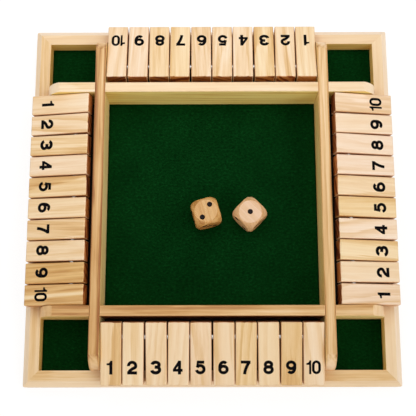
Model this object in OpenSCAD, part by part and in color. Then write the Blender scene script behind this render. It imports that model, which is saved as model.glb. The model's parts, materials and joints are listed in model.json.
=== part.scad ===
// Shut the box for four players: a square pine box with a felt tray, four troughs that
// each hold ten number tiles on a steel rod, four felt corner pockets, and two dice.
// Millimetres. The origin is the middle of the underside, +Z is up, and +Y points away
// from the south player. Each player's side is the south side turned by 90 degrees.

/* [Box] */
// Outside width of the square box
box_w = 221; // [210:1:300]
// Width of each outer rail
rail_t = 9.5; // [8:0.5:12]
// Height of the outer rails above the table
rail_h = 14; // [13:0.5:15]
// Bevel along the outer top edge of the rails
rail_bevel = 3.3; // [1:0.1:4]
// Rounding of the box's four upright outer corners
corner_round = 1.2; // [0.2:0.1:3]
// How far the base panel reaches into the rails
rabbet = 5; // [3:0.5:6]
// Thickness of the base panel
base_t = 4; // [3:0.5:5]
// Inside width of the troughs and of the corner pockets
pocket_w = 30.2; // [29.5:0.1:32]

/* [Dividers] */
// Thickness of the upright dividers
divider_t = 6.2; // [5.5:0.1:7]
// Height of the dividers' tops above the table
divider_top = 28; // [27:0.5:29]
// Easing along the dividers' top edges
divider_ease = 0.5; // [0.2:0.1:1]
// Radius of the dividers' rounded outer ends
divider_end_r = 15.5; // [15:0.5:18]

/* [Tiles] */
// Number of tiles on each side
tiles = 10; // [6:1:10]
// Gap between neighbouring tiles
tile_gap = 0.7; // [0.4:0.1:1.5]
// Thickness of a tile
tile_t = 7.6; // [6.5:0.1:8]
// Length of a tile from the rod to its numbered end
tile_arm = 27.4; // [26:0.1:27.5]
// Length of a tile from the rod to its inner end
tile_tail = 8.8; // [7:0.1:9.5]
// Rounding of a tile's edges
tile_round = 1; // [0.5:0.1:1.5]
// How far the loose tiles stand off their even spacing along the rod
tile_play = 0.15; // [0:0.05:0.15]
// Largest angle by which a loose tile is out of square with its bore
tile_skew = 0.5; // [0:0.1:0.5]
// Space left between a shut tile's underside and the rail
tile_rest_gap = 0.04; // [0.02:0.01:0.1]

/* [Hinge rods] */
// Radius of the steel rods
rod_r = 1.5; // [1:0.1:2]
// Height of the rods' axes above the table
rod_z = 22.6; // [22:0.1:23]
// Distance of a rod's axis from the divider behind it
rod_from_divider = 11.5; // [11:0.1:12]
// Depth of the blind holes that seat the rods' ends
rod_seat = 4; // [3:0.5:5]
// Radial play of the tiles on the rods
bore_play = 0.08; // [0.04:0.01:0.1]
// Radial play of the rods in the blind holes
seat_play = 0.02; // [0.01:0.01:0.05]

/* [Felt] */
// Thickness of the felt
felt_t = 1; // [0.5:0.1:1.5]
// Gap between the felt and the wood around it
felt_gap = 0.1; // [0.05:0.05:0.5]

/* [Dice] */
// Width of a die
die_w = 16; // [14:0.5:18]
// Rounding of a die's edges
die_round = 2; // [1:0.1:3]
// Radius of the ball that rounds off a die's corners
die_ball_r = 10.5; // [10.2:0.1:12.5]
// Radius of a pip's rim
pip_r = 1.6; // [1:0.1:1.8]
// Depth of a pip
pip_depth = 0.8; // [0.3:0.1:1]
// Distance of the outer pips from the middle of a face, along each edge
pip_offset = 3.15; // [3:0.05:4]
// Left die: place from west to east
left_die_x = -3.6; // [-20:0.1:0]
// Left die: place from south to north
left_die_y = -7.7; // [-20:0.1:20]
// Left die: turn, counted counterclockwise from above
left_die_turn = 16; // [0:1:90]
// Right die: place from west to east
right_die_x = 22.8; // [20:0.1:40]
// Right die: place from south to north
right_die_y = -8.3; // [-20:0.1:20]
// Right die: turn, counted counterclockwise from above
right_die_turn = 45; // [0:1:90]

/* [Hidden] */
$fn = 64;
SIDES = ["south", "east", "north", "west"];
CORNERS = [["northeast", 1, 1], ["northwest", -1, 1], ["southwest", -1, -1], ["southeast", 1, -1]];
// Pips on a die's top, bottom, west, south, east and north faces, before it is turned
LEFT_DIE_FACES = [2, 5, 6, 3, 1, 4];
RIGHT_DIE_FACES = [1, 6, 2, 3, 5, 4];
PINE = "#E3BE8C";
PALE_PINE = "#F0CFA0";
HARDBOARD = "#4A3120";
FELT = "#06300F";
STEEL = "#B9BCC0";
over = 1; // how far a cut runs past the surface that it leaves
// Degrees from tile to tile and from side to side in the waves that scatter the tiles
PLAY_STEP = [129, 132];
SKEW_STEP = [147, 163];

half_w = box_w / 2;
rail_in = half_w - rail_t;
divider_out = rail_in - pocket_w;
divider_in = divider_out - divider_t;
tray_w = 2 * divider_in;
rod_u = divider_out + rod_from_divider;
tile_pitch = tray_w / tiles;
tile_w = tile_pitch - tile_gap;

// A shut tile rests on the rail where the bevel begins: its underside passes at half the
// tile's thickness below the rod's axis and meets that edge.
rest_run = half_w - rail_bevel - rod_u;
rest_drop = rod_z - rail_h;
tile_tilt = atan(rest_drop / rest_run) - asin((tile_t / 2 + tile_rest_gap) / norm([rest_run, rest_drop]));

// The end tiles stand square at the ends of the row. The loose ones between them are
// unevenly spaced and a little out of square, as tiles drilled by hand are.
function is_loose(number) = number > 1 && number < tiles;

// Place of a tile along its side's rod
function tile_x(side, number) =
    (number - (tiles + 1) / 2) * tile_pitch
    + (is_loose(number) ? tile_play * sin(PLAY_STEP[0] * number + PLAY_STEP[1] * side) : 0);

// Angle of a tile's sides to its bore
function tile_angle(side, number) =
    is_loose(number) ? tile_skew * sin(SKEW_STEP[0] * number + SKEW_STEP[1] * side) : 0;

// A pip is a dimple cut by a ball
pip_ball_r = (pow(pip_r, 2) + pow(pip_depth, 2)) / (2 * pip_depth);

function rail_name(side) = str("rail_", side);
function rod_name(side) = str("hinge_rod_", side);
function tile_name(side, number) = str("tile_", side, "_", number);
function corner_name(corner) = str("corner_divider_", corner);

// Turns a piece of the south side to the side with this index
module on_side(index) {
    rotate([0, 0, 90 * index]) children();
}

// Reflects a piece of the northeast corner to another corner
module in_corner(x_sign, y_sign) {
    mirror([x_sign < 0 ? 1 : 0, 0, 0]) mirror([0, y_sign < 0 ? 1 : 0, 0]) children();
}

// Rectangle round the origin with rounded corners
module rounded_rectangle(width, height, round) {
    square([width - 2 * round, height], center = true);
    square([width, height - 2 * round], center = true);
    for (x = [-1, 1], y = [-1, 1])
        translate([x * (width / 2 - round), y * (height / 2 - round)]) circle(round);
}

// Outline that stands in the XZ plane, extruded by depth around y = 0
module upright(depth) {
    rotate([90, 0, 0]) linear_extrude(depth, center = true) children();
}

module base_panel() {
    color(HARDBOARD)
        translate([0, 0, base_t / 2])
            cube([2 * (rail_in + rabbet), 2 * (rail_in + rabbet), base_t], center = true);
}

// One mitred rail of the south side, with its bevel and the rabbet that holds the panel
module rail() {
    section = [
        [-half_w, 0], [-rail_in - rabbet, 0], [-rail_in - rabbet, base_t], [-rail_in, base_t],
        [-rail_in, rail_h], [-half_w + rail_bevel, rail_h], [-half_w, rail_h - rail_bevel]
    ];
    color(PINE)
        intersection() {
            rotate([90, 0, 90]) linear_extrude(box_w, center = true) polygon(section);
            linear_extrude(rail_h) polygon([[0, 0], [-half_w, -half_w], [half_w, -half_w]]);
            linear_extrude(rail_h) rounded_rectangle(box_w, box_w, corner_round);
        }
}

module felt_patch(width) {
    translate([0, 0, base_t + felt_t / 2])
        cube([width - 2 * felt_gap, width - 2 * felt_gap, felt_t], center = true);
}

module felt_lining() {
    color(FELT) {
        felt_patch(tray_w);
        for (x = [-1, 1], y = [-1, 1])
            translate([x * (divider_out + pocket_w / 2), y * (divider_out + pocket_w / 2), 0])
                felt_patch(pocket_w);
    }
}

// Takes the top corner off a divider whose outer end is at x, down to the rails' height
module end_round(x) {
    translate([x - divider_end_r, rail_h])
        difference() {
            square(divider_end_r + over);
            circle(divider_end_r);
        }
}

// A divider along X between two places, centred on y = 0, with eased top edges
module divider_bar(from, to, round_from = false, round_to = false) {
    height = divider_top - base_t;
    intersection() {
        upright(divider_t)
            difference() {
                translate([from, base_t]) square([to - from, height]);
                if (round_to) end_round(to);
                if (round_from) mirror([1, 0]) end_round(-from);
            }
        translate([from, 0, 0])
            rotate([90, 0, 90])
                linear_extrude(to - from)
                    polygon([
                        [-divider_t / 2, base_t], [divider_t / 2, base_t],
                        [divider_t / 2, divider_top - divider_ease],
                        [divider_t / 2 - divider_ease, divider_top],
                        [-divider_t / 2 + divider_ease, divider_top],
                        [-divider_t / 2, divider_top - divider_ease]
                    ]);
    }
}

// Blind hole for a rod's end, which opens on the south face of a bar along X
module seat_hole(x) {
    translate([x, -divider_t / 2 + rod_seat, rod_z])
        rotate([90, 0, 0]) cylinder(h = rod_seat + over, r = rod_r + seat_play);
}

// The divider at the tray's east edge runs from rail to rail and seats two rods
module long_divider() {
    color(PINE)
        translate([divider_in + divider_t / 2, 0, 0])
            rotate([0, 0, -90])
                difference() {
                    divider_bar(-rail_in, rail_in, round_from = true, round_to = true);
                    seat_hole(-rod_u);
                    seat_hole(rod_u);
                }
}

// The divider at the tray's south edge stands between the two long ones
module cross_divider() {
    color(PINE)
        translate([0, -divider_in - divider_t / 2, 0]) divider_bar(-divider_in, divider_in);
}

// The divider between the east trough and the northeast pocket
module corner_divider() {
    color(PINE)
        translate([0, divider_in + divider_t / 2, 0])
            difference() {
                divider_bar(divider_out, rail_in, round_to = true);
                seat_hole(rod_u);
            }
}

// The rod of the south side
module hinge_rod() {
    color(STEEL)
        translate([0, -rod_u, rod_z])
            rotate([0, 90, 0]) cylinder(h = tray_w + 2 * rod_seat, r = rod_r, center = true);
}

// A tile of the south side, shut: it lies on the rod and the rail, tilted outwards, at x,
// and its sides stand at an angle to its bore
module tile(x, angle) {
    length = tile_arm + tile_tail;
    middle = (tile_tail - tile_arm) / 2;
    color(PALE_PINE)
        translate([x, -rod_u, rod_z])
            rotate([tile_tilt, 0, 0])
                difference() {
                    rotate([0, 0, angle])
                        translate([0, middle, 0])
                            intersection() {
                                rotate([0, 0, 90]) upright(tile_w) rounded_rectangle(length, tile_t, tile_round);
                                upright(length) rounded_rectangle(tile_w, tile_t, tile_round);
                                linear_extrude(tile_t, center = true)
                                    rounded_rectangle(tile_w, length, tile_round);
                            }
                    rotate([0, 90, 0]) cylinder(h = tile_w + over, r = rod_r + bore_play, center = true);
                }
}

// Turn that carries a die's top face to face number index
function face_turn(index) = index == 0 ? [0, 0, 0] : index == 1 ? [180, 0, 0] : [0, -90, 90 * (index - 2)];

// Places of the pips on a face, in steps of pip_offset
function pip_places(count) = concat(
    count % 2 == 1 ? [[0, 0]] : [],
    count >= 2 ? [[1, 1], [-1, -1]] : [],
    count >= 4 ? [[1, -1], [-1, 1]] : [],
    count == 6 ? [[0, 1], [0, -1]] : []
);

module pips(count) {
    for (place = pip_places(count))
        translate([place[0] * pip_offset, place[1] * pip_offset, die_w / 2 + pip_ball_r - pip_depth])
            sphere(pip_ball_r);
}

// Cube whose four upright edges are rounded
module die_blank() {
    linear_extrude(die_w, center = true) rounded_rectangle(die_w, die_w, die_round);
}

module die(faces, x, y, turn) {
    color(PALE_PINE)
        translate([x, y, base_t + felt_t + die_w / 2])
            rotate([0, 0, turn])
                difference() {
                    intersection() {
                        die_blank();
                        rotate([90, 0, 0]) die_blank();
                        rotate([0, 90, 0]) die_blank();
                        sphere(die_ball_r);
                    }
                    for (index = [0:5]) rotate(face_turn(index)) pips(faces[index]);
                }
}

base_panel();
felt_lining();
long_divider();  // long_divider_east
rotate([0, 0, 180]) long_divider();  // long_divider_west
cross_divider();  // cross_divider_south
rotate([0, 0, 180]) cross_divider();  // cross_divider_north
for (side = [0:3]) {
    on_side(side) rail();
    on_side(side) hinge_rod();
    for (number = [1:tiles])
        on_side(side) tile(tile_x(side, number), tile_angle(side, number));
}
for (corner = CORNERS)
    in_corner(corner[1], corner[2]) corner_divider();
die(LEFT_DIE_FACES, left_die_x, left_die_y, left_die_turn);  // die_left
die(RIGHT_DIE_FACES, right_die_x, right_die_y, right_die_turn);  // die_right
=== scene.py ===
"""Looks of a shut the box game for four players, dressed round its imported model.

Metres, +Z up, +Y away from the south player. Lengths that are easier to read in
millimetres are written so and multiplied by MM. Materials are laid out in millimetres too.
"""

import json
import math
import random
from collections import namedtuple

import bmesh
import bpy
from mathutils import Euler, Matrix, Vector, noise
from mathutils.geometry import delaunay_2d_cdt


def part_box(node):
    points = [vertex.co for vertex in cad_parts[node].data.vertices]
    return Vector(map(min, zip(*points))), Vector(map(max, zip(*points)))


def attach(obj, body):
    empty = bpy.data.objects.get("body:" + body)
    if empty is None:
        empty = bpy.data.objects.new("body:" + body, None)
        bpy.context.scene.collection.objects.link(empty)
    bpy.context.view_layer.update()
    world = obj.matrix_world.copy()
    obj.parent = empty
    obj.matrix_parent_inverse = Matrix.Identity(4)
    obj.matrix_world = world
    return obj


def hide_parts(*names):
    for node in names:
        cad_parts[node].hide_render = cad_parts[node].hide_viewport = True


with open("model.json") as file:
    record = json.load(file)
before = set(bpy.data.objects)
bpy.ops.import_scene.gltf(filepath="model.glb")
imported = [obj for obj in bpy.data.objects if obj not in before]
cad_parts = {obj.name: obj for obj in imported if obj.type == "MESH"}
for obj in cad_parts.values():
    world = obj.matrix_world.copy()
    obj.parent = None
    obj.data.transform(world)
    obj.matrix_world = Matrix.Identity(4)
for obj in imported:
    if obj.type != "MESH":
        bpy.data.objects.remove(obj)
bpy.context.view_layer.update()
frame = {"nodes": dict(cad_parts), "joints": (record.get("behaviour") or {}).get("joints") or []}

MM = 0.001
SIDES = ("south", "east", "north", "west")
NODES = frame["nodes"]
JOINTS = {joint["child"]: joint for joint in frame["joints"]}

# Camera, fitted to the photograph
CAMERA_AT = Vector((-1.47, -116.70, 527.89)) * MM
CAMERA_TURN = Euler([math.radians(a) for a in (12.308, 0.127, -0.104)])
CAMERA_LENS = 75.34
CAMERA_SENSOR = 36.0


def srgb(red, green, blue):
    """Linear RGBA of a colour given as 0 to 255 on screen."""
    def linear(value):
        value /= 255
        return value / 12.92 if value <= 0.04045 else ((value + 0.055) / 1.055) ** 2.4
    return (linear(red), linear(green), linear(blue), 1.0)


def add_object(name, data):
    piece = bpy.data.objects.new(name, data)
    bpy.context.scene.collection.objects.link(piece)
    return piece


def mesh_data(name, mesh, material):
    """Mesh data of one material made from a bmesh, which is freed."""
    data = bpy.data.meshes.new(name)
    mesh.to_mesh(data)
    mesh.free()
    data.materials.append(material)
    return data


def set_material(piece, material):
    piece.data.materials.clear()
    piece.data.materials.append(material)


# ---------------------------------------------------------------- shader helpers


class Shader:
    """Adds nodes to a tree. An input is given as a value or as a socket to link."""

    def __init__(self, tree):
        self.tree = tree

    def put(self, socket, value):
        if isinstance(value, bpy.types.NodeSocket):
            self.tree.links.new(value, socket)
        else:
            socket.default_value = value

    def add(self, kind, inputs=None, **settings):
        node = self.tree.nodes.new("ShaderNode" + kind)
        for name, value in settings.items():
            setattr(node, name, value)
        for name, value in (inputs or {}).items():
            self.put(node.inputs[name], value)
        return node

    def math(self, operation, *values):
        return self.add("Math", dict(enumerate(values)), operation=operation).outputs[0]

    def vector(self, operation, *values):
        node = self.add("VectorMath", dict(enumerate(values)), operation=operation)
        return node.outputs["Value" if operation in ("LENGTH", "DOT_PRODUCT") else "Vector"]

    def step(self, value, low, high, to_low=0.0, to_high=1.0):
        """Smooth step from to_low to to_high as value goes from low to high."""
        return self.add(
            "MapRange",
            {"Value": value, "From Min": low, "From Max": high, "To Min": to_low, "To Max": to_high},
            interpolation_type="SMOOTHSTEP",
        ).outputs["Result"]

    def noise(self, place, scale=None, detail=2.0, roughness=0.5):
        """Outputs of a noise texture. scale, where given, multiplies the place."""
        if scale:
            place = self.vector("MULTIPLY", place, scale)
        return self.add(
            "TexNoise", {"Vector": place, "Scale": 1.0, "Detail": detail, "Roughness": roughness}
        ).outputs

    def multiplied(self, colour, by, factor):
        """colour, multiplied by another colour where the factor is 1."""
        sockets = {0: factor, 6: colour, 7: by}
        return self.add("Mix", sockets, data_type="RGBA", blend_type="MULTIPLY").outputs[2]

    def ramp(self, factor, stops):
        node = self.add("ValToRGB", {"Fac": factor})
        elements = node.color_ramp.elements
        while len(elements) < len(stops):
            elements.new(0.5)
        for element, (position, colour) in zip(elements, stops):
            element.position = position
            element.color = colour
        return node.outputs["Color"]


def new_material(name):
    """A material, its shader helper and its Principled node."""
    material = bpy.data.materials.new(name)
    material.use_nodes = True
    shader = Shader(material.node_tree)
    return material, shader, material.node_tree.nodes["Principled BSDF"]


def wire(shader, principled, **inputs):
    """Sets or links inputs of the Principled node, whose names are given with underscores."""
    for name, value in inputs.items():
        shader.put(principled.inputs[name.replace("_", " ")], value)


def piece_place(shader, place):
    """The place in a piece's own frame, in millimetres, and the normal as its object has it."""
    coordinates = shader.add("TexCoord")
    turned = shader.add(
        "Mapping",
        {
            "Vector": coordinates.outputs["Object"],
            "Location": place.to_translation(),
            "Rotation": place.to_euler(),
            "Scale": (MM, MM, MM),
        },
        vector_type="TEXTURE",
    )
    return turned.outputs["Vector"], coordinates.outputs["Normal"]


NOISE_SPREAD = (0.3, 0.7)  # nearly all of a noise lies between these


def speckled(name, scale, colours, roughness, place=Matrix.Identity(4), pattern=None, **inputs):
    """A material that goes from one colour and roughness to another with one noise.

    scale multiplies the noise's place, and pattern gives its detail and roughness.
    """
    material, s, principled = new_material(name)
    position, _ = piece_place(s, place)
    speckle = s.noise(position, scale, **(pattern or {"detail": 3.0}))["Fac"]
    wire(
        s, principled,
        Base_Color=s.ramp(speckle, list(zip(NOISE_SPREAD, colours))),
        Roughness=s.step(speckle, *NOISE_SPREAD, *roughness),
        **inputs,
    )
    return material


# ---------------------------------------------------------------- pine

# Colour of the wood by its depth, from 0 to 1
PINE_STOPS = (
    (0.00, srgb(252, 229, 197)),
    (0.28, srgb(243, 211, 168)),
    (0.52, srgb(229, 188, 132)),
    (0.76, srgb(205, 154, 92)),
    (1.00, srgb(156, 98, 47)),
)
PINE_ROUGHNESS = (0.4, 0.56)
RING_BEND = 7.0  # how far noise bends the rings, in millimetres
RING_JITTER = 0.35  # how uneven the rings are, as a share of their width
FIBRE_DEPTH = 0.16  # how much fine fibres change the depth, and slow drifts
DRIFT_DEPTH = 0.3
# What a piece draws: where its pith lies below it, as a bearing in half turns and a
# distance, what multiplies the width of its rings, and how far its noises are shifted
PITH_BEARING = (0.15, 0.85)
PITH_DISTANCE = (14, 45)
RING_WIDTH_SPREAD = (0.75, 1.35)
GRAIN_SHIFT = 50
END_COSINES = (0.6, 0.95)  # from which a surface is end grain a little, and in full


# How the surfaces that face one way differ from the rest of a piece: the direction, the
# cosines from which they count a little and in full, what multiplies their colour, what is
# added to its depth, and what multiplies the contrast of the grain
Face = namedtuple(
    "Face", "toward start full tint depth figure", defaults=(0.6, 1.0, (1.0, 1.0, 1.0), 0.0, 1.0)
)


def both_ways(*toward, **differs):
    """Two Faces that differ alike, one along a direction and one against it."""
    return [Face(tuple(sign * part for part in toward), **differs) for sign in (1, -1)]


def pine_grain_group():
    """Node group: how deep the colour of pine is at a place in millimetres, grain along X."""
    group = bpy.data.node_groups.new("pine_grain", "ShaderNodeTree")
    for name, kind in (
        ("Place", "Vector"), ("Shift", "Vector"), ("Pith", "Vector"), ("Ring width", "Float"),
        ("Rings", "Float"), ("Streaks", "Float"), ("Tone", "Float"), ("End", "Float"),
    ):
        group.interface.new_socket(name, in_out="INPUT", socket_type="NodeSocket" + kind)
    for name in ("Depth", "Fibre"):
        group.interface.new_socket(name, in_out="OUTPUT", socket_type="NodeSocketFloat")
    s = Shader(group)
    given = group.nodes.new("NodeGroupInput").outputs

    def stretched(along, across):
        """The place, scaled along the grain and across it, and shifted."""
        scaled = s.vector("MULTIPLY", given["Place"], (along, across, across))
        return s.vector("ADD", scaled, given["Shift"])

    def swing(value, amount):
        """A noise, made to go to both sides of 0."""
        return s.math("MULTIPLY", s.math("SUBTRACT", value, 0.5), amount)

    # Rings: distance from the pith, which runs along X, bent a little by noise
    bend = s.vector("SUBTRACT", s.noise(stretched(0.012, 0.05))["Color"], (0.5, 0.5, 0.5))
    bent = s.vector("ADD", given["Place"], s.vector("MULTIPLY", bend, (0.0, RING_BEND, RING_BEND)))
    from_pith = s.vector("MULTIPLY", s.vector("SUBTRACT", bent, given["Pith"]), (0.0, 1.0, 1.0))
    rough = swing(s.noise(stretched(0.05, 0.9))["Fac"], RING_JITTER)
    turns = s.math("ADD", s.math("DIVIDE", s.vector("LENGTH", from_pith), given["Ring width"]), rough)
    # Each ring darkens slowly and ends sharply
    phase = s.math("FRACT", turns)
    late = s.math("MULTIPLY", s.step(phase, 0.25, 0.88), s.step(phase, 0.9, 1.0, 1.0, 0.0))
    strength = s.noise(stretched(0.01, 0.12), (1.0, 1.3, 1.3))["Fac"]
    late = s.math("MULTIPLY", late, s.step(strength, 0.25, 0.7, 0.35, 1.2))
    rings = s.math("MULTIPLY", late, given["Rings"])

    # Streaks run along the grain, so a sawn end shows none
    streaks = swing(s.noise(stretched(0.014, 0.5), detail=4.0, roughness=0.62)["Fac"], 2.0)
    shown = s.math("MULTIPLY", given["Streaks"], s.math("SUBTRACT", 1.0, given["End"]))
    streaks = s.math("MULTIPLY", streaks, shown)
    fibre = s.noise(stretched(0.12, 4.5), detail=3.0, roughness=0.6)["Fac"]
    drift = swing(s.noise(stretched(0.02, 0.05))["Fac"], DRIFT_DEPTH)
    depth = s.math("ADD", given["Tone"], rings)
    for part in (streaks, swing(fibre, FIBRE_DEPTH), drift):
        depth = s.math("ADD", depth, part)
    result = group.nodes.new("NodeGroupOutput")
    group.links.new(depth, result.inputs["Depth"])
    group.links.new(fibre, result.inputs["Fibre"])
    return group


PINE_GRAIN = pine_grain_group()


def pine(name, place, seed, tone, rings, streaks, ring_width=2.6, blue=1.0, faces=(), stripe=None):
    """Lacquered pine. place is the piece's frame, with the grain along its X axis.

    tone is how deep the colour is, and rings and streaks are how strong these are in it.
    blue multiplies the blue of the colour, so above 1 the wood is pinker and below 1
    yellower. faces says how the surfaces that face certain ways differ. stripe, where the
    wood is paler along the middle, says by how much, and where this starts and stops fading.
    """
    draw = random.Random(seed)
    material, s, principled = new_material(name)
    position, normal = piece_place(s, place)

    def cosine(toward):
        """Cosine between the surface's normal and a direction in the piece's frame."""
        return s.vector("DOT_PRODUCT", normal, place.to_3x3() @ Vector(toward))

    angle = draw.uniform(*PITH_BEARING) * math.pi
    distance = draw.uniform(*PITH_DISTANCE)
    shift = [draw.uniform(-GRAIN_SHIFT, GRAIN_SHIFT) for _ in range(3)]
    grain = s.add(
        "Group",
        {
            "Place": position,
            "Shift": shift,
            "Pith": (0.0, distance * math.cos(angle), -distance * math.sin(angle)),
            "Ring width": ring_width * draw.uniform(*RING_WIDTH_SPREAD),
            "Rings": rings,
            "Streaks": streaks,
            "Tone": tone,
            "End": s.step(s.math("ABSOLUTE", cosine((1, 0, 0))), *END_COSINES),
        },
        node_tree=PINE_GRAIN,
    ).outputs
    figure, base = s.math("SUBTRACT", grain["Depth"], tone), tone
    if stripe:
        paler, start, stop = stripe
        off_middle = s.vector("LENGTH", s.vector("MULTIPLY", position, (0.0, 1.0, 0.0)))
        base = s.step(off_middle, start, stop, tone - paler, tone)
    masks = [s.step(cosine(face.toward), face.start, face.full) for face in faces]
    for face, mask in zip(faces, masks):
        figure = s.math("MULTIPLY", figure, s.math("MULTIPLY_ADD", mask, face.figure - 1, 1.0))
        base = s.math("MULTIPLY_ADD", mask, face.depth, base)
    colour = s.ramp(s.math("ADD", figure, base), PINE_STOPS)
    colour = s.multiplied(colour, (1.0, 1.0, blue, 1.0), 1.0)
    for face, mask in zip(faces, masks):
        colour = s.multiplied(colour, (*face.tint, 1.0), mask)
    bump = s.add("Bump", {"Height": grain["Fibre"], "Strength": 0.5, "Distance": 0.05 * MM})
    wire(
        s, principled,
        Base_Color=colour,
        Roughness=s.step(grain["Fibre"], *NOISE_SPREAD, *PINE_ROUGHNESS),
        Specular_IOR_Level=0.35,
        Coat_Weight=0.12,
        Coat_Roughness=0.3,
        Normal=bump.outputs["Normal"],
    )
    return material


def node_middle(node):
    low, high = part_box(node)
    return (low + high) / 2


def bar_frame(node, along):
    """Matrix at the middle of a node, whose X is along its grain and whose Z is up."""
    grain, up = Vector(along).normalized(), Vector((0, 0, 1))
    turned = Matrix((grain, up.cross(grain), up)).transposed().to_4x4()
    return Matrix.Translation(node_middle(node)) @ turned


# ---------------------------------------------------------------- eased edges

EASED_EDGE = 0.3 * MM
EASED_STEPS = 3
WELD_WITHIN = 0.001 * MM
FLAT_WITHIN = math.radians(0.5)
SHARP_FROM = math.radians(30)
ALONG_COSINE = 0.9


def edges_along(axis):
    """Node group that gives the edges along an axis a bevel weight of 1, and the others 0."""
    group = bpy.data.node_groups.new("edges_along", "GeometryNodeTree")
    for in_out in ("INPUT", "OUTPUT"):
        group.interface.new_socket("Geometry", in_out=in_out, socket_type="NodeSocketGeometry")
    nodes, link = group.nodes, group.links.new
    s = Shader(group)
    ends = nodes.new("GeometryNodeInputMeshEdgeVertices").outputs
    run = s.vector("SUBTRACT", ends["Position 1"], ends["Position 2"])
    cosine = s.vector("DOT_PRODUCT", s.vector("NORMALIZE", run), axis)
    store = nodes.new("GeometryNodeStoreNamedAttribute")
    store.data_type = "FLOAT"
    store.domain = "EDGE"
    store.inputs["Name"].default_value = "bevel_weight_edge"
    link(nodes.new("NodeGroupInput").outputs["Geometry"], store.inputs["Geometry"])
    link(s.math("GREATER_THAN", s.math("ABSOLUTE", cosine), ALONG_COSINE), store.inputs["Value"])
    link(store.outputs["Geometry"], nodes.new("NodeGroupOutput").inputs["Geometry"])
    return group


def soften_edges(piece, along=None):
    """Rounds a CAD node's sharp edges, or only those along an axis. Its mesh stays as it is."""
    weld = piece.modifiers.new("weld", "WELD")
    weld.merge_threshold = WELD_WITHIN
    flat = piece.modifiers.new("flat", "DECIMATE")
    flat.decimate_type = "DISSOLVE"
    flat.angle_limit = FLAT_WITHIN
    if along:
        piece.modifiers.new("mark", "NODES").node_group = edges_along(along)
    round_off = piece.modifiers.new("round", "BEVEL")
    round_off.width = EASED_EDGE
    round_off.segments = EASED_STEPS
    round_off.limit_method = "WEIGHT" if along else "ANGLE"
    round_off.angle_limit = SHARP_FROM
    round_off.harden_normals = True


# ---------------------------------------------------------------- frame and dividers

# How deep the colour of each bar's wood is, and how strong its rings and streaks are, as
# in the photograph, and for a rail what multiplies its blue
# The pieces at the south are deeper partly from their wood and partly as painted shade, for light falling
# off towards the south.
RAILS = {
    "rail_south": (0.4, 0.14, 0.3, 0.97), "rail_east": (0.29, 0.1, 0.24, 1.0),
    "rail_north": (0.3, 0.08, 0.2, 1.02), "rail_west": (0.37, 0.14, 0.3, 0.98),
}
DIVIDERS = {
    "long_divider_east": (0.69, 0.2, 0.55), "long_divider_west": (0.9, 0.2, 0.55),
    "cross_divider_north": (0.22, 0.14, 0.3), "cross_divider_south": (0.55, 0.26, 0.5),
    "corner_divider_northeast": (0.2, 0.16, 0.4), "corner_divider_northwest": (0.22, 0.16, 0.4),
    "corner_divider_southwest": (0.72, 0.3, 0.6), "corner_divider_southeast": (0.5, 0.24, 0.5),
}
RAIL_RING_WIDTH = 3.2
RAIL_SEED, DIVIDER_SEED = 11, 31

# The ends of rails, cross dividers and corner dividers
SAWN_ENDS = both_ways(1, 0, 0, start=0.05, full=0.6, tint=(1.0, 0.96, 0.9), depth=-0.2, figure=0.25)
# A rail's wall towards the box's inside, tinted yellow-olive as painted shade and bounced light,
# and the bevel along its outer top edge, made paler as painted light from the white surroundings
RAIL_WALL_PAINTED_LIGHT = Face((0, 1, 0), start=0.7, tint=(1.0, 0.95, 0.52), figure=1.5)
BEVEL = Face(
    (0, -math.sqrt(0.5), math.sqrt(0.5)), start=0.9, tint=(1.0, 1.0, 1.05), depth=-0.2, figure=0.8
)
# The walls of the south corner dividers, made paler and yellow-olive as painted light
PAINTED_LIGHT_WALLS = both_ways(0, 1, 0, start=0.7, tint=(1.0, 0.99, 0.62), depth=-0.34, figure=1.5)
# The long dividers' rounded ends, and their walls that face west and east, made paler and
# yellow-olive as painted light, the east-facing ones more. These dividers are also paler along the middle.
LONG_ENDS = both_ways(1, 0, 0, start=0.35, full=0.9, tint=(1.0, 0.97, 0.94), depth=-0.24, figure=0.25)
LONG_PAINTED_LIGHT_WALLS = [wall._replace(depth=depth) for wall, depth in zip(PAINTED_LIGHT_WALLS, (-0.45, -0.8))]
LONG_STRIPE = (0.22, 1.5, 2.8)
# The walls of the dividers at the north, made paler and yellower as painted light, and of the
# south cross divider, with painted light on the tray's side and painted shade on the trough's
NORTH_PAINTED_LIGHT_WALLS = both_ways(0, 1, 0, start=0.7, tint=(1.0, 0.97, 0.44), depth=-0.18, figure=3.6)
PAINTED_LIGHT_AND_SHADE_WALLS = [
    Face((0, 1, 0), start=0.7, tint=(1.0, 0.95, 0.6)),
    Face((0, -1, 0), start=0.7, tint=(0.6, 0.4, 0.22), depth=0.3),
]


def divider_faces(node):
    """How a divider's ends and walls differ, and the stripe along its middle, if any."""
    if node.startswith("long"):
        return [*LONG_ENDS, *LONG_PAINTED_LIGHT_WALLS], LONG_STRIPE
    if node == "cross_divider_south":
        return [*SAWN_ENDS, *PAINTED_LIGHT_AND_SHADE_WALLS], None
    if "north" in node:
        return [*SAWN_ENDS, *NORTH_PAINTED_LIGHT_WALLS], None
    return [*SAWN_ENDS, *PAINTED_LIGHT_WALLS], None


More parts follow.
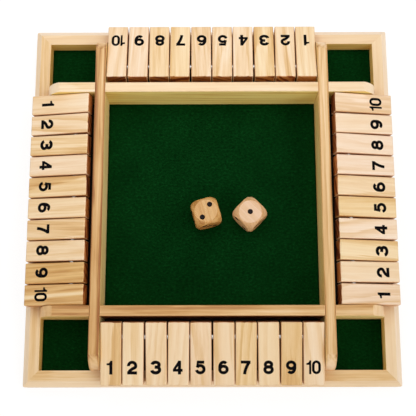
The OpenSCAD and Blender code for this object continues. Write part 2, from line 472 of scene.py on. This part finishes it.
def dress_frame():
    for index, (node, (tone, rings, streaks, blue)) in enumerate(RAILS.items()):
        quarter = Matrix.Rotation(index * math.pi / 2, 3, "Z")
        along = quarter @ Vector((1, 0, 0))
        place = bar_frame(node, along)  # Y points into the box
        material = pine(
            "pine_" + node, place, RAIL_SEED + index, tone, rings, streaks, RAIL_RING_WIDTH, blue,
            faces=[*SAWN_ENDS, RAIL_WALL_PAINTED_LIGHT, BEVEL],
        )
        set_material(NODES[node], material)
        soften_edges(NODES[node], along)
    for index, (node, (tone, rings, streaks)) in enumerate(DIVIDERS.items()):
        place = bar_frame(node, (0, 1, 0) if node.startswith("long") else (1, 0, 0))
        faces, stripe = divider_faces(node)
        material = pine(
            "pine_" + node, place, DIVIDER_SEED + index, tone, rings, streaks,
            faces=faces, stripe=stripe,
        )
        set_material(NODES[node], material)
        soften_edges(NODES[node])


def dress_base_panel():
    """Hardboard, of which only the floors of the troughs show, made near-black as painted shade so the
    troughs render dark.
    """
    material = speckled(
        "base_board", (0.8, 0.8, 0.8), (srgb(26, 16, 11), srgb(42, 28, 19)), (0.6, 0.75),
        bar_frame("base_panel", (1, 0, 0)), {"detail": 6.0, "roughness": 0.7},
        Specular_IOR_Level=0.3,
    )
    set_material(NODES["base_panel"], material)


# ---------------------------------------------------------------- tiles

def tile_frame(node):
    """Matrix of a tile, and how far its face is above the rod's axis.

    The origin is on the rod in the middle of the tile's width, X points to the reader's
    right, Y away from them and Z out of the face.
    """
    joint = JOINTS[node]
    rod, on_rod = Vector(joint["axis"]), Vector(joint["pos_m"])
    mesh = NODES[node].data
    face = max((p for p in mesh.polygons if p.normal.z > 0.5), key=lambda p: p.area)
    side = max((p for p in mesh.polygons if p.normal.dot(rod) < -0.9), key=lambda p: p.area)
    right, up = side.normal.copy(), face.normal.copy()
    turned = Matrix((right, up.cross(right), up)).transposed().to_4x4()
    height = (mesh.vertices[face.vertices[0]].co - on_rod).dot(up)
    sideways = [(v.co - on_rod).dot(right) for v in mesh.vertices]
    # Where the tile's middle line crosses the rod
    origin = on_rod - rod * (min(sideways) + max(sideways)) / 2 / right.dot(-rod)
    return Matrix.Translation(origin) @ turned, height


# What the wood of most tiles is drawn from
TILE_RINGS = (0.08, 0.3)
TILE_RING_WIDTHS = (1.8, 4.5)
TILE_BLUES = (0.96, 1.08)
TILE_TONES = (0.18, 0.3)
TILE_STREAKS = (0.18, 0.34)
GRAIN_SLANT = math.radians(4)
# How a side's tiles differ: what is added to their depth of colour, what multiplies their
# blue, and what multiplies their streaks
# The east tiles are paler, as painted light from the east that they lean towards.
TILE_SIDE = {
    "south": (0.0, 1.0, 1.0), "east": (-0.08, 1.04, 1.2),
    "north": (0.0, 1.0, 1.9), "west": (0.0, 1.0, 2.0),
}
# Tiles whose wood stands out in the photograph: how much deeper its colour is, its rings'
# strength and width, and its blue
MARKED_TILES = {
    "tile_west_10": (0.4, 0.12, 6.0, 0.92), "tile_west_9": (0.32, 0.1, 5.0, 0.88),
    "tile_west_7": (0.1, 0.3, 5.0, 1.0), "tile_west_5": (0.18, 0.3, 6.0, 0.95),
    "tile_west_3": (0.08, 0.4, 5.0, 0.96), "tile_south_1": (0.14, 0.3, 6.0, 0.98),
    "tile_south_7": (0.12, 0.18, 5.0, 0.94), "tile_south_9": (0.18, 0.2, 5.0, 0.95),
    "tile_east_3": (0.0, 0.34, 7.0, 0.88), "tile_east_5": (0.08, 0.42, 6.0, 0.86),
    "tile_north_3": (0.03, 0.3, 4.0, 0.94), "tile_north_7": (0.04, 0.5, 5.0, 0.94),
}
STRIPED_TILE = "tile_west_10"
TILE_STRIPE = (0.45, 0.3, 2.2)
# The ends of the grain. The inner ends are dark in the photograph, by different amounts
# between these two.
# Their dark tint is partly end grain and partly painted shade, from the narrow troughs the inner ends
# face.
INNER_END_GRAIN_AND_SHADE_TINTS = (Vector((0.24, 0.08, 0.02)), Vector((0.6, 0.28, 0.1)))
INNER_END = Face((1, 0, 0), depth=-0.35, figure=10.0)
OUTER_END = Face((-1, 0, 0), tint=(0.82, 0.64, 0.46), depth=0.1, figure=2.4)
# The tiles' long sides, darkened and reddened as painted shade for the narrow gaps between tiles.
TILE_GAP_SIDES_PAINTED_SHADE = both_ways(0, 1, 0, tint=(0.68, 0.46, 0.31))
TILE_SEED = 700
# How far apart the seeds of one side and the next are, for a tile's draws and for its grain
DRAWS_APART, GRAINS_APART = 100, 13


def dress_tiles():
    for index, side in enumerate(SIDES):
        for number in range(1, 11):
            node = f"tile_{side}_{number}"
            place, top = tile_frame(node)
            draw = random.Random(DRAWS_APART * index + number)
            # A marked tile makes these draws too
            rings, ring_width = draw.uniform(*TILE_RINGS), draw.uniform(*TILE_RING_WIDTHS)
            usual = (0.0, rings, ring_width, draw.uniform(*TILE_BLUES))
            deeper, rings, ring_width, blue = MARKED_TILES.get(node, usual)
            side_deeper, side_blue, side_streaks = TILE_SIDE[side]
            tone = draw.uniform(*TILE_TONES) + deeper + side_deeper
            streaks = draw.uniform(*TILE_STREAKS) * side_streaks
            slant = Matrix.Rotation(math.pi / 2 + draw.uniform(-GRAIN_SLANT, GRAIN_SLANT), 4, "Z")
            dip = Matrix.Rotation(draw.uniform(-GRAIN_SLANT, GRAIN_SLANT), 4, "Y")
            inner_end = INNER_END._replace(tint=INNER_END_GRAIN_AND_SHADE_TINTS[0].lerp(INNER_END_GRAIN_AND_SHADE_TINTS[1], draw.random()))
            material = pine(
                "pine_" + node, place @ slant @ dip, TILE_SEED + GRAINS_APART * index + number,
                tone, rings, streaks, ring_width, blue * side_blue,
                faces=[inner_end, OUTER_END, *TILE_GAP_SIDES_PAINTED_SHADE],
                stripe=TILE_STRIPE if node == STRIPED_TILE else None,
            )
            set_material(NODES[node], material)
            add_number(node, number, place, top)


# ---------------------------------------------------------------- numbers

NUMBER_HEIGHT = 7.8
NUMBER_OUT = 17.0  # from the rod to the middle of a number, in millimetres
NUMBER_LEFT = 0.35  # how far it stands left of the tile's middle
PAINT = 0.03  # thickness of the printed numbers
PAINT_SUNK = 0.01  # how far they reach into the wood
STROKE = 1.78
NARROW_STROKE = 1.45
ARC_STEPS = 20
# The digits of a 10: how much wider each is than on its own, and how far right it stands
TEN = ((1, 0.82, -2.6), (0, 1.06, 1.5))


def arc(centre, radii, start, end, steps=ARC_STEPS):
    """Points of an elliptical arc, with angles in degrees."""
    angles = [math.radians(start + (end - start) * i / steps) for i in range(steps + 1)]
    return [(centre[0] + radii[0] * math.cos(a), centre[1] + radii[1] * math.sin(a)) for a in angles]


def bezier(a, b, c, d):
    """Points of a cubic curve."""
    points = []
    for i in range(ARC_STEPS + 1):
        t = i / ARC_STEPS
        u = 1 - t
        weights = (u * u * u, 3 * u * u * t, 3 * u * t * t, t * t * t)
        points.append(tuple(sum(w * p[k] for w, p in zip(weights, (a, b, c, d))) for k in (0, 1)))
    return points


def ribbon(path, width):
    """Outline of a stroke of this width along a path."""
    left, right = [], []
    for i, point in enumerate(path):
        before, after = path[max(i - 1, 0)], path[min(i + 1, len(path) - 1)]
        along = Vector((after[0] - before[0], after[1] - before[1])).normalized()
        across = Vector((-along.y, along.x)) * (width / 2)
        left.append((point[0] + across.x, point[1] + across.y))
        right.append((point[0] - across.x, point[1] - across.y))
    return left + right[::-1]


def ring(centre, radii, width):
    """Outlines of a closed stroke, as two halves that overlap."""
    return [ribbon(arc(centre, radii, start, start + 200, 2 * ARC_STEPS), width) for start in (0, 180)]


def glyph(digit, stroke):
    """Outlines of a digit in millimetres, centred on the origin, as shapes to be merged."""
    h = NUMBER_HEIGHT / 2
    mid = h - stroke / 2
    if digit == 1:
        outlines = [[
            (-1.95, 1.35), (-1.95, 2.4), *bezier((-1.3, 2.45), (-0.4, 2.6), (0.0, 3.1), (0.1, h))[1:],
            (1.4, h), (1.4, -h), (1.4 - stroke, -h), (1.4 - stroke, 1.35),
        ]]
    elif digit == 2:
        top = arc((0, mid - 1.95), (2.05, 1.95), 188, -22)
        down = bezier(top[-1], (1.3, -0.5), (-1.6, -0.9), (-2.0, -h + 0.4))
        outlines = [ribbon(top + down[1:], stroke), ribbon([(-2.75, -mid), (2.8, -mid)], stroke)]
    elif digit == 3:
        upper = arc((0, mid - 1.5), (2.0, 1.5), 172, -62) + [(-0.55, 0.3)]
        lower = [(-0.55, 0.3)] + arc((0, -mid + 1.7), (2.25, 1.7), 62, -172)
        outlines = [ribbon(upper, stroke * 1.06), ribbon(lower, stroke * 1.06)]
    elif digit == 4:
        outlines = [
            ribbon([(0.95, h), (0.95, -h)], stroke),
            ribbon([(-2.8, -1.55), (2.75, -1.55)], stroke * 0.9),
            [(0.35, h), (1.5, h), (1.2, 2.2), (-1.35, -1.2), (-2.8, -1.0), (-2.8, -1.5), (-2.8, -0.95)],
        ]
    elif digit == 5:
        outlines = [
            ribbon([(-1.75, mid), (2.2, mid)], stroke * 0.95),
            [(-1.9, h), (-0.6, h), (-1.05, 0.3), (-2.45, 0.0)],
            ribbon(arc((-0.05, -mid + 2.05), (2.15, 2.05), 150, -168, 30), stroke),
        ]
    elif digit in (6, 9):
        sign = 1 if digit == 6 else -1
        shapes = ring((0, -mid + 1.85), (2.1, 1.85), stroke)
        shapes.append(ribbon(arc((0.05, 0), (2.15, mid), 48, 196, 34), stroke))
        outlines = [[(sign * x, sign * y) for x, y in shape] for shape in shapes]
    elif digit == 7:
        outlines = [
            ribbon([(-2.75, mid), (2.8, mid)], stroke * 0.95),
            ribbon(bezier((2.15, mid), (0.8, 1.2), (-0.3, -1.2), (-0.55, -h)), stroke),
        ]
    elif digit == 8:
        outlines = ring((0, mid - 1.42), (1.8, 1.42), stroke) + ring((0, -mid + 1.68), (2.1, 1.68), stroke)
    else:
        side = 1.15
        outlines = [
            ribbon(arc((0, side), (1.7, mid - side), -1, 181), stroke),
            ribbon(arc((0, -side), (1.7, mid - side), 179, 361), stroke),
            ribbon([(-1.7, side), (-1.7, -side)], stroke),
            ribbon([(1.7, side), (1.7, -side)], stroke),
        ]
    return outlines


def number_outlines(number):
    if number < 10:
        return glyph(number, STROKE)
    return [
        [(x * wider + right, y) for x, y in outline]
        for digit, wider, right in TEN for outline in glyph(digit, NARROW_STROKE)
    ]


def merged_slab(outlines, low, high):
    """Mesh of overlapping outlines, merged and made into a slab between two heights."""
    points, faces = [], []
    for outline in outlines:
        turn = sum(a[0] * b[1] - b[0] * a[1] for a, b in zip(outline, outline[1:] + outline[:1]))
        if turn < 0:
            outline = outline[::-1]
        faces.append(list(range(len(points), len(points) + len(outline))))
        points += [Vector(p) for p in outline]
    flat, _, triangles, _, _, sources = delaunay_2d_cdt(points, [], faces, 0, 1e-5)
    mesh = bmesh.new()
    corners = [mesh.verts.new((p.x * MM, p.y * MM, low)) for p in flat]
    for triangle, inside in zip(triangles, sources):
        if inside:
            mesh.faces.new([corners[i] for i in triangle])
    bmesh.ops.delete(mesh, geom=[v for v in mesh.verts if not v.link_faces], context="VERTS")
    bmesh.ops.recalc_face_normals(mesh, faces=mesh.faces)
    raised = bmesh.ops.extrude_face_region(mesh, geom=list(mesh.faces))["geom"]
    top = [v for v in raised if isinstance(v, bmesh.types.BMVert)]
    bmesh.ops.translate(mesh, vec=(0, 0, high - low), verts=top)
    bmesh.ops.recalc_face_normals(mesh, faces=mesh.faces)
    return mesh


NUMBER_PAINT = speckled(
    "number_paint", (3.0, 3.0, 3.0), (srgb(5, 3, 4), srgb(12, 9, 10)), (0.6, 0.75),
    Specular_IOR_Level=0.04,
)
NUMBER_MESHES = {}


def add_number(node, number, place, top):
    if number not in NUMBER_MESHES:
        mesh = merged_slab(number_outlines(number), -PAINT_SUNK * MM, PAINT * MM)
        NUMBER_MESHES[number] = mesh_data(f"number_{number}", mesh, NUMBER_PAINT)
    piece = add_object(node.replace("tile", "number"), NUMBER_MESHES[number])
    piece.matrix_world = place @ Matrix.Translation((-NUMBER_LEFT * MM, -NUMBER_OUT * MM, top))
    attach(piece, node)


# ---------------------------------------------------------------- felt

FELT_STEP = 0.9  # width of the cells of a patch's grid
FELT_FUZZ = 0.05  # how uneven its top is
FELT_WAVE = 1.7  # how wide the bumps in its top are
FELT_RIM = 0.5  # width of its soft rim
FELT_DROP = 0.35  # how far the rim drops, as a share of the thickness
FELT_STOPS = ((0.4, srgb(1, 30, 6)), (0.55, srgb(5, 50, 15)), (0.7, srgb(14, 75, 30)))
TRAY_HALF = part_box("cross_divider_north")[1].x


def felt_material():
    """Matted hairs, with tufts and paler clouds."""
    material, s, principled = new_material("green_felt")
    position, _ = piece_place(s, Matrix.Identity(4))
    warp = s.vector("MULTIPLY", s.noise(position, (0.9, 0.9, 0.9))["Color"], (3.0, 3.0, 0.0))
    tangled = s.vector("ADD", position, warp)
    hairs = s.noise(tangled, (3.2, 1.1, 1.0), detail=4.0, roughness=0.7)["Fac"]
    cross = s.noise(tangled, (1.0, 3.4, 1.0), detail=4.0, roughness=0.7)["Fac"]
    cloud = s.noise(position, (0.05, 0.05, 0.05))["Fac"]
    tuft = s.noise(position, (0.55, 0.85, 1.0), roughness=0.6)["Fac"]
    matted = s.math("MAXIMUM", hairs, cross)
    shade = s.math("ADD", s.math("MULTIPLY", matted, 0.5), s.math("MULTIPLY", cloud, 0.12))
    shade = s.math("MULTIPLY_ADD", tuft, 0.38, shade)
    bump = s.add("Bump", {"Height": matted, "Strength": 0.6, "Distance": 0.18 * MM})
    wire(
        s, principled,
        Base_Color=s.ramp(shade, FELT_STOPS),
        Roughness=0.95,
        Specular_IOR_Level=0.02,
        Sheen_Weight=0.03,
        Sheen_Roughness=0.5,
        Sheen_Tint=srgb(40, 130, 60),
        Normal=bump.outputs["Normal"],
    )
    return material


def felt_patch(name, low, high, material):
    """A patch of felt that fills a box: a slab with a soft rounded rim and an uneven top."""
    width = high.x - low.x
    thickness = high.z - low.z
    cells = round(width / (FELT_STEP * MM))
    mesh = bmesh.new()
    bmesh.ops.create_grid(mesh, x_segments=cells, y_segments=cells, size=width / 2)
    for vert in mesh.verts:
        inside = width / 2 - max(abs(vert.co.x), abs(vert.co.y))
        drop = (1 - min(inside / (FELT_RIM * MM), 1.0)) ** 2 * FELT_DROP * thickness
        wave = noise.noise(Vector((vert.co.x, vert.co.y, 0)) / (FELT_WAVE * MM)) * FELT_FUZZ * MM
        vert.co.z = thickness / 2 - FELT_FUZZ * MM - drop + wave
    rim_edges = [e for e in mesh.edges if e.is_boundary]
    skirt = bmesh.ops.extrude_edge_only(mesh, edges=rim_edges)["geom"]
    for vert in (v for v in skirt if isinstance(v, bmesh.types.BMVert)):
        vert.co.z = -thickness / 2
    bmesh.ops.holes_fill(mesh, edges=[e for e in mesh.edges if e.is_boundary])
    bmesh.ops.translate(mesh, vec=(low + high) / 2, verts=mesh.verts)
    bmesh.ops.recalc_face_normals(mesh, faces=mesh.faces)
    for face in mesh.faces:
        face.smooth = True
    piece = add_object(name, mesh_data(name, mesh, material))
    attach(piece, "box")
    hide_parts("felt_lining")


def felt_boxes():
    """Lowest and highest corners of the five felt patches, by where they lie."""
    groups = {}
    for co in [v.co for v in NODES["felt_lining"].data.vertices]:
        name = "felt_tray"
        if min(abs(co.x), abs(co.y)) > TRAY_HALF:
            name = "felt_" + ("north" if co.y > 0 else "south") + ("east" if co.x > 0 else "west")
        groups.setdefault(name, []).append(co)
    return {
        name: [Vector([pick(co[axis] for co in corners) for axis in range(3)]) for pick in (min, max)]
        for name, corners in groups.items()
    }


def add_felt():
    material = felt_material()
    for name, (low, high) in sorted(felt_boxes().items()):
        felt_patch(name, low, high, material)


# ---------------------------------------------------------------- rods

def dress_rods():
    material = speckled(
        "steel_rod", (1.5, 1.5, 9.0), (srgb(158, 157, 156), srgb(196, 194, 190)), (0.22, 0.38),
        Metallic=1.0,
    )
    for side in SIDES:
        set_material(NODES["hinge_rod_" + side], material)


# ---------------------------------------------------------------- dice

DIE_WIDTH = 16.0
PIP_OFFSET = 3.15  # from the middle of a face to a pip, along each edge
PIP_BALL = 2.0  # radius of the ball that cuts a pip
PIP_DEPTH = 0.8
PIP_PAINT = 0.04  # thickness of the paint
PIP_RINGS, PIP_STEPS = 6, 24
# The corners and edges, which are deeper in colour than the faces, and the ends of the grain.
# All four upright faces are also deeper than the top and bottom, as painted shade.
DIE_CORNERS = [
    Face(Vector((x, y, z)).normalized(), start=0.62, tint=(0.98, 0.91, 0.75), depth=0.07)
    for x in (1, -1) for y in (1, -1) for z in (1, -1)
]
DIE_ENDS = both_ways(1, 0, 0, start=0.8, full=0.97, tint=(0.95, 0.82, 0.62), depth=0.14, figure=1.5)
DIE_SIDE_PAINTED_SHADE = both_ways(0, 1, 0, start=0.8, full=0.97, tint=(0.95, 0.86, 0.68), depth=0.1)
DIE_RINGS, DIE_RING_WIDTH = 0.12, 3.5
DIE_SEED = 61
# Each die's turn, its pips on top, below, and on its west, south, east and north faces, and
# its wood's depth of colour, streaks and blue
DICE = {
    "die_left": (16, (2, 5, 6, 3, 1, 4), (0.66, 0.4, 0.98)),
    "die_right": (45, (1, 6, 2, 3, 5, 4), (0.42, 0.25, 1.27)),
}


def pip_places(count):
    """Where a face's pips are, in steps of PIP_OFFSET from its middle."""
    places = [(0, 0)] if count % 2 else []
    if count >= 2:
        places += [(1, 1), (-1, -1)]
    if count >= 4:
        places += [(1, -1), (-1, 1)]
    if count == 6:
        places += [(0, 1), (0, -1)]
    return places


def face_turn(index):
    """Turn that carries a die's top face to face number index."""
    if index < 2:
        return Matrix.Rotation(math.pi * index, 4, "X")
    return Matrix.Rotation((index - 2) * math.pi / 2, 4, "Z") @ Matrix.Rotation(-math.pi / 2, 4, "Y")


def painted_pips(faces):
    """Mesh of the paint in a die's dimples, in the die's own frame: a small bowl in each.

    A bowl is a single surface, and its normals point into the die.
    """
    mesh = bmesh.new()
    radius = PIP_BALL - PIP_PAINT
    low = PIP_BALL - PIP_DEPTH  # the ball's centre is this far above the face
    widest = math.acos(low / radius)
    for index, count in enumerate(faces):
        for across, ahead in pip_places(count):
            centre = Vector((across * PIP_OFFSET, ahead * PIP_OFFSET, DIE_WIDTH / 2 + low))
            carry = Matrix.Scale(MM, 4) @ face_turn(index) @ Matrix.Translation(centre)
            loops = []
            for level in range(1, PIP_RINGS + 1):
                tilt = widest * level / PIP_RINGS
                reach, drop = radius * math.sin(tilt), -radius * math.cos(tilt)
                loops.append([
                    mesh.verts.new(carry @ Vector((reach * math.cos(a), reach * math.sin(a), drop)))
                    for a in (2 * math.pi * k / PIP_STEPS for k in range(PIP_STEPS))
                ])
            bottom = mesh.verts.new(carry @ Vector((0, 0, -radius)))
            for k in range(PIP_STEPS):
                after = (k + 1) % PIP_STEPS
                mesh.faces.new((bottom, loops[0][after], loops[0][k]))
                for inner, outer in zip(loops, loops[1:]):
                    mesh.faces.new((inner[k], inner[after], outer[after], outer[k]))
    for face in mesh.faces:
        face.smooth = True
    return mesh


def dress_dice():
    paint = speckled(
        "pip_paint", (2.0, 2.0, 2.0), (srgb(16, 8, 10), srgb(30, 17, 18)), (0.16, 0.26),
        Specular_IOR_Level=0.1,
    )
    for index, (node, (turn, faces, (tone, streaks, blue))) in enumerate(DICE.items()):
        place = Matrix.Translation(node_middle(node)) @ Matrix.Rotation(math.radians(turn), 4, "Z")
        grained = place @ Matrix.Rotation(math.pi / 2, 4, "Z")  # along the die's Y
        material = pine(
            "pine_" + node, grained, DIE_SEED + index, tone, DIE_RINGS, streaks, DIE_RING_WIDTH, blue,
            faces=[*DIE_CORNERS, *DIE_ENDS, *DIE_SIDE_PAINTED_SHADE],
        )
        set_material(NODES[node], material)
        pips = add_object("pips_" + node, mesh_data("pips_" + node, painted_pips(faces), paint))
        pips.matrix_world = place
        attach(pips, node)


# ---------------------------------------------------------------- stage

WHITE = (1.0, 1.0, 1.0, 1.0)
# name, tilt from straight above, bearing clockwise from north, energy
SUNS = (
    ("sun_west", 40, -75, 0.28),
    ("sun_east", 42, 90, 0.68),
    ("sun_southwest", 60, -150, 0.4),
    ("sun_southeast", 60, 145, 0.5),
)
SUN_SOFTNESS = math.radians(40)
SOFTBOX_AT = Vector((-0.02, 0.17, 0.36))
SOFTBOX_SIZE = 0.3
SOFTBOX_WATTS = 0.58
ZENITH, HORIZON = 0.1, 0.8
FLOOR_SIZE = 8
FLOOR_HEIGHT = -0.2 * MM
FLOOR_COLOUR = (0.95, 0.95, 0.95, 1.0)
# How bright the white is that background rays see on the floor, and its share there
FLOOR_GLOW, FLOOR_GLOW_SHARE = 1.08, 0.8


def background_rays(shader):
    """1 for rays that should see the white background: camera, glossy and transmission rays."""
    path = shader.add("LightPath").outputs
    seen = shader.math("MAXIMUM", path["Is Camera Ray"], path["Is Glossy Ray"])
    return shader.math("MAXIMUM", seen, path["Is Transmission Ray"])


def add_sky():
    """A dome that lights the game from near the horizon, and is seen as plain white."""
    world = bpy.data.worlds.new("studio")
    bpy.context.scene.world = world
    world.use_nodes = True
    s = Shader(world.node_tree)
    fill = s.tree.nodes["Background"]
    fill.inputs["Color"].default_value = WHITE
    height = s.add("SeparateXYZ", {"Vector": s.add("TexCoord").outputs["Generated"]}).outputs["Z"]
    s.put(fill.inputs["Strength"], s.step(s.math("ABSOLUTE", height), 0.0, 1.0, HORIZON, ZENITH))
    white = s.add("Background", {"Color": WHITE, "Strength": 1.0})
    mix = s.add("MixShader", {0: background_rays(s), 1: fill.outputs[0], 2: white.outputs[0]})
    s.put(s.tree.nodes["World Output"].inputs["Surface"], mix.outputs[0])


def add_lamps():
    for name, tilt, bearing, energy in SUNS:
        light = bpy.data.lights.new(name, "SUN")
        light.energy = energy
        light.angle = SUN_SOFTNESS
        lamp = add_object(name, light)
        # Its light comes from straight above, tilted towards the bearing
        tilted = Matrix.Rotation(math.radians(-tilt), 3, "X")
        lamp.rotation_euler = (Matrix.Rotation(math.radians(-bearing), 3, "Z") @ tilted).to_euler()
    light = bpy.data.lights.new("softbox", "AREA")
    light.shape = "SQUARE"
    light.size = SOFTBOX_SIZE
    light.energy = SOFTBOX_WATTS
    softbox = add_object("softbox", light)
    softbox.location = SOFTBOX_AT
    softbox.rotation_euler = (-SOFTBOX_AT).to_track_quat("-Z", "Y").to_euler()


def add_floor():
    bpy.ops.mesh.primitive_plane_add(size=FLOOR_SIZE, location=(0, 0, FLOOR_HEIGHT))
    floor = bpy.context.object
    floor.name = "floor"
    material, s, principled = new_material("white_floor")
    wire(s, principled, Base_Color=FLOOR_COLOUR, Roughness=0.9, Specular_IOR_Level=0.1)
    glow = s.add("Emission", {"Color": WHITE, "Strength": FLOOR_GLOW})
    seen = s.math("MULTIPLY", background_rays(s), FLOOR_GLOW_SHARE)
    mix = s.add("MixShader", {0: seen, 1: principled.outputs[0], 2: glow.outputs[0]})
    s.put(s.tree.nodes["Material Output"].inputs["Surface"], mix.outputs[0])
    floor.data.materials.append(material)


def add_camera():
    data = bpy.data.cameras.new("camera")
    data.lens = CAMERA_LENS
    data.sensor_width = CAMERA_SENSOR
    camera = add_object("camera", data)
    camera.location = CAMERA_AT
    camera.rotation_euler = CAMERA_TURN
    bpy.context.scene.camera = camera


bpy.context.scene.view_settings.view_transform = "Standard"
add_camera()
dress_frame()
dress_base_panel()
dress_tiles()
add_felt()
dress_rods()
dress_dice()
add_sky()
add_lamps()
add_floor()
